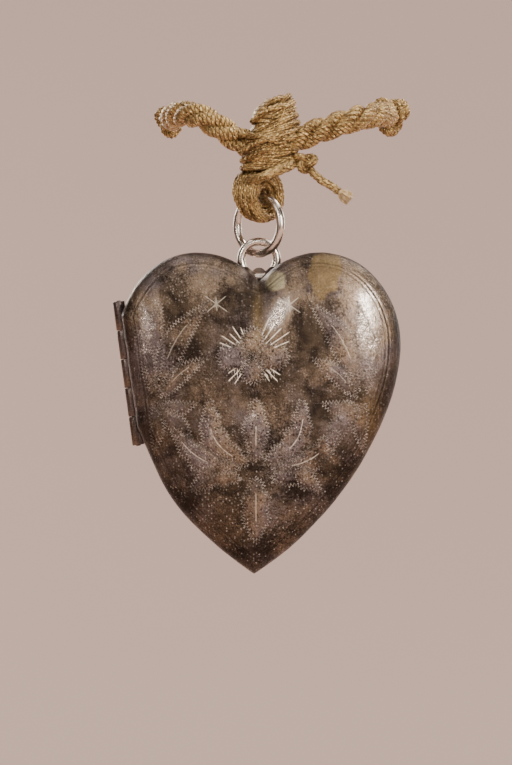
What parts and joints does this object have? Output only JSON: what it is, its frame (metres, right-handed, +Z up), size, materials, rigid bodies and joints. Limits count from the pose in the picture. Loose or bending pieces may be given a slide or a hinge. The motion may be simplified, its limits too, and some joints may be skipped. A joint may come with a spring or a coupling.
{
  "type": "locket",
  "caption": "Puffed heart locket of engraved tarnished silver that opens on a side hinge, hung by a jump ring from a tied gilt cord.",
  "frame": {"origin": "the point of the cord's centreline that the locket hangs from, inside the lashing", "axes": "+X to the right of someone who looks at the front cover, +Y from the front cover to the back cover, +Z up"},
  "size_m": [0.0303, 0.0184, 0.0488],
  "materials": {
    "tarnished_silver": "engraved, tarnished silver plate, half polished by wear",
    "silver_wire": "worn, polished",
    "gilt_brass": "dull gilt",
    "pin_steel": "drawn wire",
    "celluloid": "clear, a little yellowed",
    "card": "aged, matt",
    "gilt_thread": "metallic thread, twisted",
    "cotton_core": "frayed cotton"
  },
  "bodies": {
    "cord_and_ties": {"cord": "gilt_thread", "cord_lashing": "gilt_thread", "cord_bight": "gilt_thread", "side_knot": "gilt_thread", "cord_tail": "gilt_thread", "tail_tuft": "cotton_core", "left_end_knot": "gilt_thread", "right_end_knot": "gilt_thread"},
    "ring": {"jump_ring": "silver_wire"},
    "back_half": {"back_cover": "tarnished_silver", "snap_flange": "gilt_brass", "back_picture_frame": "gilt_brass", "back_window": "celluloid", "back_picture_card": "card", "knuckle_1_back": "tarnished_silver", "knuckle_3_back": "tarnished_silver", "knuckle_5_back": "tarnished_silver", "hinge_leaf_back": "tarnished_silver", "hinge_pin": "pin_steel", "bail_ring": "silver_wire", "bail_lug": "tarnished_silver"},
    "front_half": {"front_cover": "tarnished_silver", "front_rim": "gilt_brass", "front_picture_frame": "gilt_brass", "front_window": "celluloid", "front_picture_card": "card", "knuckle_2_front": "tarnished_silver", "knuckle_4_front": "tarnished_silver", "hinge_leaf_front": "tarnished_silver"}
  },
  "joints": [
    {"name": "ring_swing", "type": "hinge", "parent": "cord_and_ties", "child": "ring", "pos_m": [0.0002, 0, -0.00513], "axis": [0.7547, -0.6561, 0], "range_deg": [-38, 38]},
    {"name": "locket_swing", "type": "hinge", "parent": "ring", "child": "back_half", "pos_m": [0.0002, 0, -0.01087], "axis": [0.7547, -0.6561, 0], "range_deg": [-25, 25]},
    {"name": "cover_hinge", "type": "hinge", "parent": "back_half", "child": "front_half", "pos_m": [-0.01248, 0, -0.02556], "axis": [0.1374, 0, -0.9905], "range_deg": [0, 150]}
  ]
}
